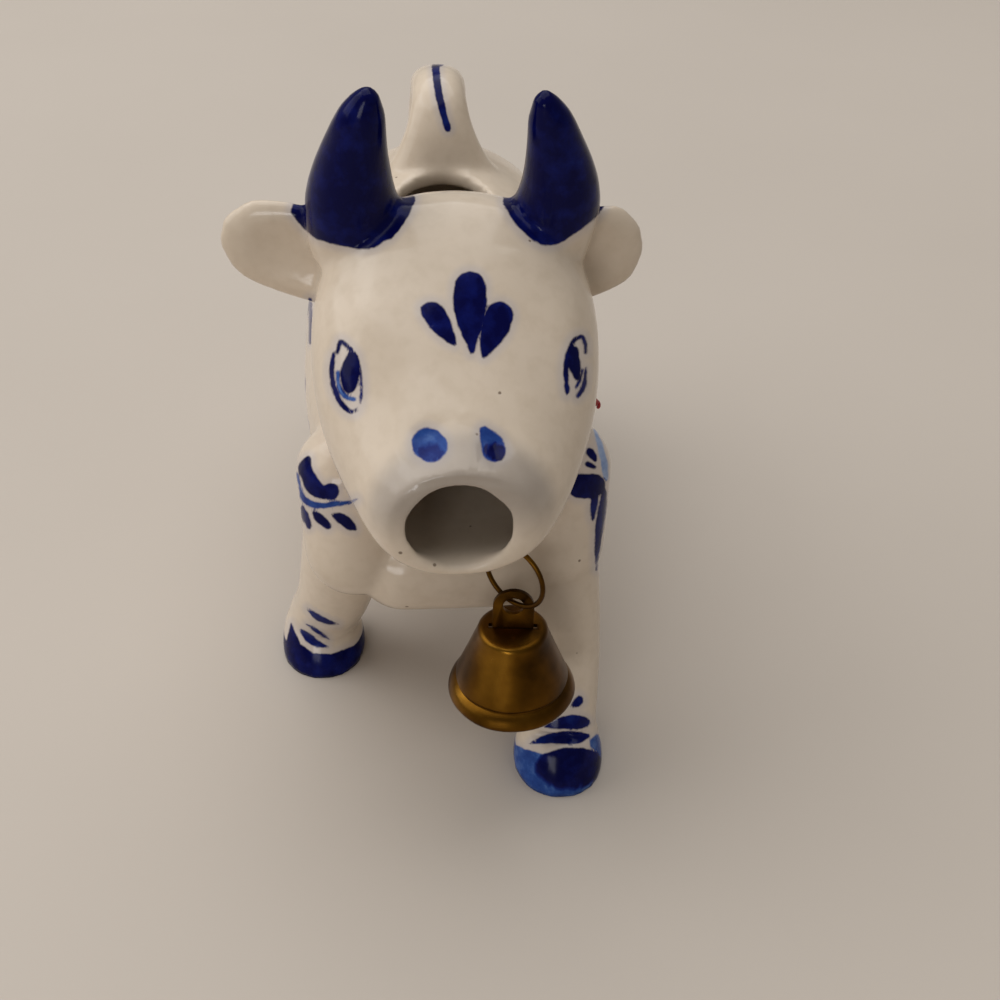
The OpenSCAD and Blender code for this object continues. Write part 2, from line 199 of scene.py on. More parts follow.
def pixelRay(x, y):   # direction from the camera through a pixel of the photograph
    f, half = view["focalPixels"], view["pixels"] / 2
    return (cameraPlace.to_3x3() @ Vector(((x - half) / f, (half - y) / f, -1))).normalized()


print("camera set")

redCord = {   # in mm and degrees; route and ends in the drawing's coordinates
    "diameter": 1.15, "pitch": 2.4, "step": 0.22,
    "knot": 3.1, "knotFlat": 0.95, "knotTilt": (35, 28), "knotOff": (0.2, 0, 0.2),
    "route": [(19, -35, 65), (18, -38, 63.5), (15.5, -42, 61), (14, -45.5, 59.5), (12.5, -48.5, 58),
              (11.5, -52, 56), (10.5, -56, 53.8), (9, -59, 52.5), (7, -59, 52.5), (3, -59.5, 54),
              (-2, -60, 54.5), (-6, -58, 55), (-9.6, -55, 55.7), (-11.7, -50.5, 57.4), (-13.7, -46.5, 59.1),
              (-15.5, -42.5, 61), (-17, -39, 62.5), (-18, -35, 64.3), (-18.9, -32, 65.5), (-19.5, -29, 67.3),
              (-19.3, -25.5, 69.3), (-18.3, -22, 71.5), (-16.4, -19, 73.5), (-13.4, -16.4, 75.5),
              (-9.5, -13.4, 76.3), (-5, -11, 76.6), (0, -10.2, 76.9), (5, -11, 76.6), (9.5, -13.4, 76.3),
              (13.4, -16.4, 75.5), (16.4, -19, 73.5), (18.3, -22, 71.5), (19.3, -25.5, 69.3),
              (19.5, -29, 67.3), (19, -32, 66), (19, -35, 65)],
    "longEnd": [(19, -35, 65), (20.5, -35.5, 64.5), (22, -34.5, 63), (23, -33.5, 61.3)],
    "shortEnd": [(19, -35, 65), (19.8, -36.8, 63.8), (19.5, -38, 61.5), (19, -38.5, 59.5)],
}


def twistedPly(name, line, radius, offset, phase, pitchLength):
    # one ply of the cord, wound round the line
    line = np.array(line, float)
    steps = np.linalg.norm(np.diff(line, axis=0), axis=1)
    travel = np.concatenate([[0], np.cumsum(steps)])
    count = max(int(travel[-1] / redCord["step"]), 4)
    at = np.linspace(0, travel[-1], count)
    centre = np.stack([np.interp(at, travel, line[:, k]) for k in range(3)], 1)
    along = np.gradient(centre, axis=0)
    along /= np.linalg.norm(along, axis=1)[:, None]
    sideways = np.cross(along, [0.0, -0.45, 0.9])   # the loop's own axis, so that the twist doesn't flip
    sideways /= np.linalg.norm(sideways, axis=1)[:, None]
    other = np.cross(along, sideways)
    angle = at / pitchLength * 2 * math.pi + phase
    points = centre + offset * (np.cos(angle)[:, None] * sideways + np.sin(angle)[:, None] * other)
    curve = bpy.data.curves.new(name, "CURVE")
    curve.dimensions = "3D"
    curve.bevel_depth = radius * mm
    curve.bevel_resolution = 1
    curve.use_fill_caps = True
    spline = curve.splines.new("POLY")
    spline.points.add(len(points) - 1)
    spline.points.foreach_set("co", np.c_[points * mm, np.ones(len(points))].ravel())
    ply = bpy.data.objects.new(name, curve)
    bpy.context.scene.collection.objects.link(ply)
    onlySelect(ply)
    bpy.ops.object.convert(target="MESH")
    return bpy.context.view_layer.objects.active


def makeCord():
    r = redCord["diameter"] / 4
    knotAt = np.array(redCord["route"][0]) + shift
    plies = []
    for part in ("route", "longEnd", "shortEnd"):
        line = smoothLine(np.array(redCord[part]) + shift, 8)
        for k in range(2):
            plies.append(twistedPly(f"{part}{k}", line, r * 1.02, r * 0.98, k * math.pi, redCord["pitch"]))
    # the knot: the cord passes twice round itself
    turns = np.linspace(0, 2, 60)
    size = redCord["knot"] / 2 - 2 * r
    wrap = np.stack([size * np.cos(turns * 2 * math.pi) * redCord["knotFlat"], (turns - 1) * redCord["knotFlat"],
                     size * np.sin(turns * 2 * math.pi)], 1)
    aboutX, aboutZ = (math.radians(angle) for angle in redCord["knotTilt"])
    tilt = np.array(Matrix.Rotation(aboutX, 3, "X") @ Matrix.Rotation(aboutZ, 3, "Z"))
    wrap = wrap @ tilt.T + knotAt + np.array(redCord["knotOff"])
    for k in range(2):
        plies.append(twistedPly(f"knot{k}", wrap, r * 1.05, r * 0.98, k * math.pi, redCord["pitch"]))
    onlySelect(*plies)
    bpy.ops.object.join()
    cord = bpy.context.view_layer.objects.active
    cord.name = cord.data.name = "neckCordTwisted"
    bpy.ops.object.shade_smooth()
    return cord


cord = makeCord()
print("cord made")

# The cow: every ceramic node merged to one skin, as the glaze runs over all the joins
glazedCow = {
    "nodes": ["body_casting", "front_left_leg", "front_right_leg", "hind_left_leg", "hind_right_leg",
              "left_horn", "right_horn", "left_ear", "right_ear", "tail_handle", "udder"],
    "skin": 0.55,        # grid of the skin, mm
    "soften": 20,        # rounds of smoothing that stand for the thick glaze
    "triangles": 84000,  # what the skin is thinned to before it is split near the brush marks
    # each round of splitting: how near a mark, in mm, the largest triangle left whole, in mm2, and which paint
    "splits": [(2.2, 1.2, ("sprig",)), (0.9, 0.3, ("brush", "hoof", "hornEdge", "sprig")),
               (0.42, 0.13, ("brush", "sprig"))],
    "mouthMiddle": (0, -69.5, 65.9),
    "mouthRim": 7.2,                 # radius within which the snout's front isn't pressed, mm
    "mouthShift": (-0.65, 0, 0.2),   # the mouth sits a little to the cow's right
    "mouthOpens": 0.35,              # and its rim was pressed wider while the clay was wet
    "mouthReach": 13.0,              # how far round it that is felt, mm
    "snoutDisc": (8.9, 10.6),        # radii between which the flat front of the snout turns to its top, mm
    "snoutFront": -69.2,             # y of the flat front, mm
    "snoutDeep": 7.0,                # how far behind it points are still pressed, mm
    "snoutCrease": (12.2, 0.3, 1.1),   # radius, depth and width of the crease over the snout, mm
    "creaseEnds": -60,               # y behind which there is no crease, mm
}
# Sculpting: pixel of the photograph, radius and height in mm, below zero for a dent
pressedMarks = {
    "leftNostril": (430, 444, 2.6, -0.9), "rightNostril": (495, 447, 2.3, -0.9),
    "leftBrow": (356, 330, 5.0, 0.5), "rightBrow": (566, 328, 4.5, 0.5),
    "leftEyeball": (349, 374, 3.6, 0.45), "rightEyeball": (574, 366, 3.0, 0.4),
    "leftLip": (412, 500, 3.0, 0.35), "rightLip": (508, 498, 3.0, 0.35),
}
# The blue of each horn: its middle line with the radius that the blue keeps to, in mm, and its lower edge on the
# side that the photograph shows, in pixels; behind, the edge goes on at the height of its two ends
hornPaint = {
    "left": ([(13.4, -31, 88, 10.5), (15.2, -33.2, 97, 8.6), (14, -35.9, 106.5, 6.4), (11.7, -38.5, 115, 3)],
             [(503, 204), (507, 211), (514, 222), (528, 237), (540, 244), (549, 246), (561, 243), (579, 231),
              (591, 222), (600, 213), (606, 202)]),
    "right": ([(-13.7, -31, 88, 10.5), (-14.4, -33.2, 97, 8.9), (-13.2, -35.9, 106.5, 6.6), (-11, -38.5, 116, 3)],
              [(288, 197), (290, 211), (302, 227), (312, 236), (322, 241), (346, 247), (370, 249), (385, 241),
               (400, 235), (412, 222), (423, 205)]),
}
hornBlue = 0.97
hornPixelsTop = 60    # a row of pixels above the horns' tips
# Brush marks seen in the photograph: depth of the blue, then pixel x, y and half width along the mark
photoMarks = {
    "petalMiddle": (0.93, [(470, 287, 16), (470, 303, 17), (470, 320, 13.5), (471, 336, 8), (472, 352, 2.5)]),
    "petalMiddleCore": (1.0, [(478, 281, 3), (480, 292, 5), (479, 304, 4)]),
    "petalLeft": (0.93, [(424, 308, 4), (433, 313, 11), (440, 323, 10.5), (448, 335, 7), (455, 344, 2)]),
    "petalLeftCore": (1.02, [(429, 310, 5), (434, 315, 6.5)]),
    "petalRight": (0.93, [(499, 316, 14.5), (495, 328, 14), (489, 342, 9.5), (484, 356, 2.5)]),
    "petalRightCore": (1.02, [(502, 311, 6), (502, 318, 7), (499, 326, 4)]),
    "pupilLeft": (1.0, [(352.5, 358, 6.5), (350.5, 371, 10), (349, 384, 8), (348.5, 390, 4)]),
    "lidTopLeft": (0.95, [(337.2, 353.2, 1.6), (339, 346, 2.2), (341.4, 341.5, 2.4), (347, 346, 2.3),
                          (352.7, 351.2, 1.6)]),
    "lidOuterLeft": (0.9, [(333.8, 354.7, 2.2), (331.8, 365.6, 2.8), (332.3, 378.8, 2.8), (334.9, 390.3, 3),
                           (339.5, 400.6, 2.8), (345.8, 408.6, 2.6), (352.7, 412.1, 2.2), (357.9, 408.6, 1.5)]),
    "lidRightLeft": (0.85, [(360.2, 365.6, 1.2), (361, 378.8, 1.5), (361.6, 387.4, 1.5), (361, 396, 1.5),
                            (360.5, 402.9, 1.1)]),
    "washUnderLeft": (0.45, [(337.8, 371.9, 1.8), (338.4, 384.5, 2.3), (342.4, 393.1, 2.8), (347.6, 397.7, 2.6),
                             (354.4, 399.5, 2)]),
    "lidTopRight": (0.95, [(571.8, 343.4, 2.4), (576, 338.6, 2.3), (582, 336.9, 2.2), (585, 343, 2.2),
                           (585.6, 352.6, 1.9)]),
    "lidSideRight": (0.9, [(571.8, 343.4, 2.2), (568.3, 353.6, 2.7), (566.7, 363.3, 3), (565.7, 373.5, 2.8),
                           (567, 388.8, 2.5), (567.2, 393.9, 1.6)]),
    "pupilRight": (1.0, [(573.9, 350.5, 4.8), (574.4, 363.3, 6.3), (576.9, 376, 4.2)]),
    "lidInnerRight": (0.8, [(582.6, 368.9, 1.6), (580.5, 378.6, 2), (576.2, 387.2, 1.6)]),
    "lidOuterRight": (0.85, [(585.6, 368.4, 1.4), (585.1, 376, 1.9), (584.1, 385.2, 2.4), (581, 391.3, 2.6),
                             (577.4, 396.4, 2)]),
    "nostrilLeft": (0.56, [(428, 444, 16.5), (431, 446, 16.5)]),
    "nostrilLeftDark": (0.78, [(424, 453, 6), (431, 453, 8.5), (438, 452, 6)]),
    "nostrilRight": (0.6, [(484, 431, 5), (488, 437, 8), (492, 444, 11.5), (494, 450, 12)]),
    "nostrilRightDark": (0.95, [(489, 450, 5), (496, 452, 8), (499, 455, 6)]),
    "shoulderFlower": (0.97, [(308, 459, 3), (305, 468, 7), (309, 478, 7.5), (314, 487, 8.5), (322, 492, 7),
                             (331, 491.5, 8.6)]),
    "shoulderSweep": (0.6, [(297, 473.8, 1.5), (300.5, 488.5, 1.6), (303, 497.4, 3), (310.7, 503.8, 3.5),
                            (321, 505.7, 3.2), (335.6, 503.8, 2.8), (348.3, 502.8, 2), (356.6, 499.3, 0.9)]),
    "leafletA": (0.95, [(302.7, 507.6, 2), (305, 516, 4), (309, 526, 3)]),
    "leafletB": (0.95, [(313.9, 513.3, 2.2), (320, 519, 5), (328, 526, 3.4)]),
    "leafletC": (0.95, [(333, 515, 2.2), (342, 519, 5.5), (350, 525, 5), (355, 529, 2)]),
    "farShoulderBand": (0.98, [(580, 486, 12.5), (588, 486, 12.5), (594, 485, 11.5)]),
    "farShoulderA": (0.95, [(590, 452, 4.5), (593, 456, 3.5), (595, 460, 2)]),
    "farShoulderB": (0.95, [(588, 464, 3), (592, 466, 2.8), (595, 467, 2)]),
    "farShoulderInner": (0.85, [(595, 495, 4), (593.5, 508, 3.5), (593, 519, 2)]),
    "farShoulderStreak": (0.85, [(604, 490, 2.5), (603, 505, 4), (600.5, 520, 4.5), (598.5, 535, 3.8),
                                 (597, 552, 2.6), (596.5, 570, 1)]),
    # a pale blue mark on the far shoulder: partly the shoulder's blue seen edge-on, partly a painted reflection
    "farShoulderMarkAndPaintedReflection": (0.14, [(595, 430, 1.5), (600, 446, 3), (604, 462, 3.4), (606, 478, 2.6)]),
    "backStrip": (0.8, [(310, 300, 2), (310.5, 320, 2), (310, 343, 1.5)]),
    "hoofStrokeA": (0.8, [(307, 608.5, 0.8), (317, 616.5, 3.2), (328, 622, 2.7), (339, 624, 0.6)]),
    "hoofStrokeB": (0.8, [(306.5, 624, 0.8), (317, 631, 2.3), (329, 639.4, 0.7)]),
    "hoofStrokeC": (0.8, [(301, 630, 1.2), (308, 637, 4.4), (316, 643, 3.6), (328, 647, 0.8)]),
    "hoofStrokeD": (0.85, [(579, 696, 1.2), (578.5, 701.5, 4.6), (572, 706, 1.6)]),
    "hoofStrokeE": (0.85, [(545, 727, 1.2), (556, 724.5, 4.5), (568, 722, 7), (580, 722.3, 7), (588, 722, 3)]),
    "hoofStrokeF": (0.85, [(530, 743.5, 1), (545, 739.5, 4.4), (562, 737.5, 6.4), (578, 737.5, 6),
                           (588, 736, 2)]),
    "tailStripe": (0.9, [(435.5, 66, 4), (438, 88, 3.8), (442, 108, 3.8), (448, 129, 3.4)]),
}
# Areas filled with the brush: depth of the blue and the outline's pixels
photoAreas = {
    "hoofLeft": (0.95, [(291, 622), (285, 646), (283, 665), (291, 675), (307, 678), (328, 676), (346, 667),
                        (358, 654), (364, 641), (346, 648.5), (331, 654), (313, 653), (301, 644), (295, 632)]),
    "hoofRightWash": (0.5, [(508, 741), (508, 762), (515, 779), (531, 791), (556, 800), (585, 800), (605, 789),
                            (612, 764), (603, 746), (598, 733), (589, 740), (591, 747), (597, 752), (583, 748),
                            (563, 748), (542, 754), (525, 749)]),
    "hoofRight": (0.97, [(535, 766), (542, 755), (563, 747.5), (583, 747.5), (597, 752), (603, 763), (599, 777),
                         (583, 787), (566, 789), (547, 783), (536.5, 775)]),
}
hoofPaint = {   # in mm; behind what the photograph shows, the blue goes on at the height of its two ends
    "middles": {"hoofLeft": (-24.3, -22.2), "hoofRightWash": (17.1, -52.5)},   # x and y on the ground
    "hindMiddles": {"hindLeft": (16.5, 49), "hindRight": (-16.5, 34)},
    "reach": 14.0, "top": 22.0,      # what belongs to a hoof: distance from its middle, and height
    "allBlue": 4.0,                  # height up to which a fore hoof is blue all round
    "edgeAbove": 3.0,                # its upper edge is looked for above this
    "hindEdge": (6.3, 1.3, 4.2),     # a hind hoof's edge: height, rise of its wave and the wave's length / 2 pi
    "hindBlue": 0.95,
}

# Generic painted sprigs on the flanks: depth of the blue, then y, z and half width in mm, on both sides
flankMarks = {
    "petal1": (0.85, [(8, 53, 1.2), (8, 57, 2.6), (8.5, 60.5, 1.2)]),
    "petal2": (0.85, [(11, 51, 1.2), (15, 52.5, 2.5), (18, 54.5, 1.0)]),
    "petal3": (0.85, [(10, 48, 1.2), (13, 44.5, 2.5), (15.5, 42, 1.0)]),
    "petal4": (0.85, [(6, 48, 1.2), (3.5, 44.5, 2.5), (1, 42, 1.0)]),
    "petal5": (0.85, [(5, 51, 1.2), (1, 52.5, 2.5), (-2, 54.5, 1.0)]),
    "heart": (0.55, [(7.6, 50, 1.3), (8.4, 50, 1.3)]),
    "stemFront": (0.6, [(-4, 47, 0.5), (-10, 45, 0.8), (-17, 47, 0.8), (-23, 52, 0.5)]),
    "stemBack": (0.6, [(20, 48, 0.5), (27, 45, 0.8), (34, 46, 0.8), (41, 51, 0.5)]),
    "leaf1": (0.7, [(-8, 46, 0.6), (-11, 50, 1.7), (-13, 54, 0.5)]),
    "leaf2": (0.7, [(-15, 46, 0.6), (-16, 42, 1.6), (-18, 38.5, 0.5)]),
    "leaf3": (0.7, [(25, 46, 0.6), (27, 50, 1.7), (29, 54, 0.5)]),
    "leaf4": (0.7, [(31, 45, 0.6), (33, 41, 1.6), (35, 37.5, 0.5)]),
    "bud1": (0.8, [(-24, 53, 0.8), (-26, 56, 1.8), (-27, 58, 0.7)]),
    "bud2": (0.8, [(42, 52, 0.8), (44, 55.5, 1.8), (45, 58, 0.7)]),
    "rumpScroll": (0.55, [(50, 62, 0.6), (54, 57, 1.1), (54, 50, 1.2), (50, 45, 0.9), (46, 44, 0.5)]),
}
# Leaves on the back and a line on the tail: depth of the blue, lowest z, then x, y and half width in mm
backMarks = {
    "backLeaf1": (0.75, 72, [(-9, -4, 0.6), (-11, 1, 1.7), (-12, 6, 0.5)]),
    "backLeaf2": (0.75, 72, [(9, -4, 0.6), (11, 1, 1.7), (12, 6, 0.5)]),
    "tailLine": (0.8, 76, [(0, 42, 1.0), (0.4, 50, 1.3), (0, 58, 1.0)]),
}
farMm = 2.5       # a brush mark further off than this leaves no trace
edgeMm = 0.6      # points this near a painted edge tell its height
overlapMm = 0.3   # where marks overlap or lie this near, the deepest blue shows


def makeCow():
    cow = copyOfNodes("glazedCow", glazedCow["nodes"])
    applyModifier(cow, "REMESH", mode="VOXEL", voxel_size=glazedCow["skin"] * mm, adaptivity=0.0)
    applyModifier(cow, "SMOOTH", factor=0.5, iterations=glazedCow["soften"])
    print("skin before thinning:", len(cow.data.polygons), "faces")
    applyModifier(cow, "DECIMATE", ratio=glazedCow["triangles"] / (2 * len(cow.data.polygons)))
    applyModifier(cow, "SMOOTH", factor=0.35, iterations=2)
    bpy.ops.object.shade_smooth()
    return cow


def treeOf(piece):
    return BVHTree.FromPolygons([tuple(v.co) for v in piece.data.vertices],
                                [tuple(p.vertices) for p in piece.data.polygons])


def pressMarks(cow):   # sculpt-like moves of the points near each mark, then of the snout and the mouth
    tree = treeOf(cow)
    points, normals = coordinates(cow), normalsOf(cow)
    for x, y, radius, height in pressedMarks.values():
        hit = tree.ray_cast(Vector(eye) * mm, pixelRay(x, y))
        away = np.linalg.norm(points - np.array(hit[0]) * 1000, axis=1) / radius
        points += normals * (height * np.exp(-(away ** 2) * 1.4) * (away < 2.5))[:, None]
    mouth = np.array(glazedCow["mouthMiddle"]) + shift
    outwards = points - mouth
    felt = np.exp(-(np.linalg.norm(outwards, axis=1) / glazedCow["mouthReach"]) ** 4)[:, None]
    outwards[:, 1] = 0
    outwards /= np.maximum(np.linalg.norm(outwards, axis=1), 1)[:, None]
    # the flat front of the snout over the mouth
    fromAxis = np.linalg.norm((points - mouth)[:, [0, 2]], axis=1)
    inner, outer = glazedCow["snoutDisc"]
    front = glazedCow["snoutFront"] + shift[1]
    over = np.clip((points[:, 2] - mouth[2] - 1) / 4, 0, 1)
    outside = (fromAxis > glazedCow["mouthRim"]) & (points[:, 1] < front + glazedCow["snoutDeep"])
    flat = np.clip((outer - fromAxis) / (outer - inner), 0, 1)
    flat = flat * flat * (3 - 2 * flat) * over * outside * (normals[:, 1] < 0.2)
    points[:, 1] += flat * np.minimum(front - points[:, 1], 0)
    # the crease that runs over it
    creaseAt, creaseDeep, creaseWide = glazedCow["snoutCrease"]
    crease = np.exp(-((fromAxis - creaseAt) / creaseWide) ** 2) * over
    crease *= (points[:, 1] < glazedCow["creaseEnds"]) & (normals[:, 2] > 0.2)
    points -= normals * (creaseDeep * crease)[:, None]
    points += felt * (np.array(glazedCow["mouthShift"]) + glazedCow["mouthOpens"] * outwards)
    points[np.abs(points[:, 2]) < 0.5, 2] = 0    # flat under the hooves
    lowest, highest = np.array([tuple(corner) for corner in cadBox]) * 1000
    setCoordinates(cow, np.clip(points, lowest, highest))


def seenByCamera(points, normals, tree):   # facing the photograph's camera with nothing before them
    toEye = eye - points
    facing = (normals * toEye).sum(1) / np.linalg.norm(toEye, axis=1)
    seen = facing > 0.03
    for i in np.flatnonzero(seen):
        start = Vector((points[i] + normals[i] * 0.25) * mm)
        if tree.ray_cast(start, Vector(toEye[i]).normalized())[0] is not None:
            seen[i] = False
    return seen


def outsideOutline(points, outline):   # distance outside a closed outline, below zero within it
    ring = np.array(outline + outline[:1], float)
    away = strokeDistance(points, ring, np.zeros(len(ring)))
    x, y = points[:, 0], points[:, 1]
    inside = np.zeros(len(points), bool)
    for (ax, ay), (bx, by) in zip(ring[:-1], ring[1:]):
        if ay != by:
            crossing = ax + (y - ay) * (bx - ax) / (by - ay)
            inside ^= ((ay > y) != (by > y)) & (x < crossing)
    return np.where(inside, -away, away)


def ringHeight(points, edgeHere, middle):   # height of a painted edge round an upright axis, at each point
    angle = np.arctan2(points[:, 1] - middle[1], points[:, 0] - middle[0])
    return np.interp(angle, angle[edgeHere], points[edgeHere, 2], period=2 * math.pi)


def splitMark(mark):   # the mark as a smooth line and its half widths
    line = smoothLine(mark, 5)
    return line[:, :-1], np.maximum(line[:, -1], 0.2)


def lookOver(piece, tree):   # what the brush needs to know of each point
    points, normals = coordinates(piece), normalsOf(piece)
    pixels, depth = toPixels(points)
    return {"points": points, "normals": normals, "seen": seenByCamera(points, normals, tree),
            "pixels": pixels, "perPixel": depth / view["focalPixels"]}


def brushField(name, mark, tree, look):   # distance outside one brush mark of the photograph
    points, perPixel = look["points"], look["perPixel"]
    line, widths = splitMark(mark)
    hits = [tree.ray_cast(Vector(eye) * mm, pixelRay(x, y))[0] for x, y in line]
    hits = np.array([hit for hit in hits if hit is not None]) * 1000
    away = np.full(len(points), farMm)
    if len(hits) < 2:
        print("mark off the cow:", name)
        return away
    near = np.full(len(points), 1e9)
    for hit in hits:
        near = np.minimum(near, np.linalg.norm(points - hit, axis=1))
    pick = near < widths.max() * perPixel.mean() + farMm
    flat = strokeDistance(look["pixels"][pick], line, widths) * perPixel[pick]
    # round the edge of what the camera sees, the mark goes on as a tube round its line
    tube = near[pick] - widths.mean() * perPixel[pick]
    away[pick] = np.where(look["seen"][pick], flat, np.maximum(tube, -0.4))
    return away


def nearHoof(points, middle):   # which points belong to the hoof round this middle
    away = np.linalg.norm(points[:, :2] - np.array(middle) - shift[:2], axis=1)
    return (points[:, 2] < hoofPaint["top"]) & (away < hoofPaint["reach"])


def hoofField(name, outline, look):   # distance outside a fore hoof's painted area
    points, seen, z = look["points"], look["seen"], look["points"][:, 2]
    shown = seen & (z < hoofPaint["top"])
    away = np.full(len(points), farMm)
    away[shown] = outsideOutline(look["pixels"][shown], outline) * look["perPixel"][shown]
    if name in hoofPaint["middles"]:
        middle = hoofPaint["middles"][name]
        near = nearHoof(points, middle)
        away[near] = np.minimum(away[near], z[near] - hoofPaint["allBlue"])
        edgeHere = near & seen & (np.abs(away) < edgeMm) & (z > hoofPaint["edgeAbove"])
        behind = near & ~seen
        away[behind] = (z - ringHeight(points, edgeHere, np.array(middle) + shift[:2]))[behind]
    return away


def hindHoofField(middle, look):
    height, rise, length = hoofPaint["hindEdge"]
    points = look["points"]
    wavy = height + rise * np.cos((points[:, 1] - middle[1]) / length)
    return np.where(nearHoof(points, middle), points[:, 2] - wavy, farMm)


def hornField(axis, lowerEdge, edgeOnly, look):   # distance outside a horn's blue, or from its lower edge only
    points, seen = look["points"], look["seen"]
    line = np.array(axis)
    away = strokeDistance(points, line[:, :3] + shift, line[:, 3])
    outline = [tuple(q) for q in smoothLine(lowerEdge, 4)]
    outline += [(lowerEdge[-1][0], hornPixelsTop), (lowerEdge[0][0], hornPixelsTop)]
    shown = seen & (away < farMm)
    low = np.full(len(points), farMm)
    low[shown] = outsideOutline(look["pixels"][shown], outline) * look["perPixel"][shown]
    behind = ~seen & (away < farMm)
    edgeHere = shown & (np.abs(low) < edgeMm) & (points[:, 2] < line[1, 2] + 3)
    low[behind] = (ringHeight(points, edgeHere, line[0, :2] + shift[:2]) - points[:, 2])[behind]
    return np.where(away < 0, low, farMm) if edgeOnly else np.maximum(away, low)


def sprigFields(look):   # the flanks' sprigs, seen from the side, and the back's leaves, seen from above
    points, normals = look["points"], look["normals"]
    flank = (np.abs(normals[:, 0]) > 0.25) & (np.abs(points[:, 0] - shift[0]) > 12)
    flank &= ~(look["seen"] & (points[:, 1] < -20))
    for blue, mark in flankMarks.values():
        line, widths = splitMark(mark)
        yield np.where(flank, strokeDistance(points[:, 1:], line + shift[1:], widths), farMm), blue
    for blue, lowest, mark in backMarks.values():
        line, widths = splitMark(mark)
        top = (normals[:, 2] > 0.2) & (points[:, 2] > lowest)
        yield np.where(top, strokeDistance(points[:, :2], line + shift[:2], widths), farMm), blue


def paintFields(cow, tree, kinds=("brush", "hoof", "hindHoof", "horn", "sprig")):
    # distance outside the nearest brush mark, in mm, and how deep its blue is
    look = lookOver(cow, tree)
    fields = []
    for name, (blue, mark) in photoMarks.items():
        if ("hoof" if name.startswith("hoof") else "brush") in kinds:
            fields.append((brushField(name, mark, tree, look), blue))
    if "hoof" in kinds:
        fields += [(hoofField(name, outline, look), blue) for name, (blue, outline) in photoAreas.items()]
    if "hindHoof" in kinds:
        fields += [(hindHoofField(middle, look), hoofPaint["hindBlue"])
                   for middle in hoofPaint["hindMiddles"].values()]
    if "horn" in kinds or "hornEdge" in kinds:
        fields += [(hornField(axis, lowerEdge, "hornEdge" in kinds, look), hornBlue)
                   for axis, lowerEdge in hornPaint.values()]
    if "sprig" in kinds:
        fields += list(sprigFields(look))
    distances = np.minimum(np.array([away for away, blue in fields]), farMm)
    nearest = distances.min(0)
    strength = np.clip(1 - (distances - np.maximum(nearest, 0)) / overlapMm, 0, 1)
    return nearest, (strength * np.array([blue for away, blue in fields])[:, None]).max(0)


def splitNear(cow, tree, within, largest, kinds):   # a finer grid along the edges of the marks
    wanted = np.abs(paintFields(cow, tree, kinds)[0]) < within
    onlySelect(cow)
    bpy.ops.object.mode_set(mode="EDIT")
    bpy.ops.mesh.select_mode(type="FACE")
    bpy.ops.mesh.select_all(action="DESELECT")
    bpy.ops.object.mode_set(mode="OBJECT")
    picked = [p.area > largest * mm ** 2 and any(wanted[i] for i in p.vertices) for p in cow.data.polygons]
    cow.data.polygons.foreach_set("select", picked)
    bpy.ops.object.mode_set(mode="EDIT")
    bpy.ops.mesh.subdivide(number_cuts=1, smoothness=0)
    bpy.ops.mesh.vertices_smooth(factor=0.5, repeat=2)
    bpy.ops.object.mode_set(mode="OBJECT")


def setAttribute(piece, name, values):
    layer = piece.data.attributes.new(name, "FLOAT", "POINT")
    layer.data.foreach_set("value", values.astype(np.float32))


cow = makeCow()
print("skin of the cow:", len(cow.data.polygons), "faces")
pressMarks(cow)
cowTree = treeOf(cow)
for within, largest, kinds in glazedCow["splits"]:
    splitNear(cow, cowTree, within, largest, kinds)
    print("split near marks:", len(cow.data.polygons), "faces")
edgeField, toneField = paintFields(cow, cowTree)
setAttribute(cow, "paintEdge", edgeField)
setAttribute(cow, "paintTone", toneField)
applyModifier(cow, "TRIANGULATE")
print("cow painted:", len(cow.data.polygons), "triangles")

brassBell = {
    "place": (10.6, -57.9, 38.15), "turn": -4.5, "wall": 0.7, "rounds": 112, "slot": (7.5, 1.2), "dent": 0.05,
    "hub": 0.6, "bevel": 0.14, "lugBevel": 0.12,
    "profile": [(4.5, 0), (5.1, -0.2), (5.42, -0.55), (5.5, -0.95), (6.35, -3.2), (7.2, -5.45), (8.05, -7.7),
                (8.86, -9.85), (8.66, -10.1), (8.6, -10.35), (8.66, -10.6), (8.98, -10.8), (9.4, -11.15),
                (9.72, -11.65), (9.98, -12.2), (10.1, -12.6), (10.02, -12.95), (9.78, -13.18)],
}


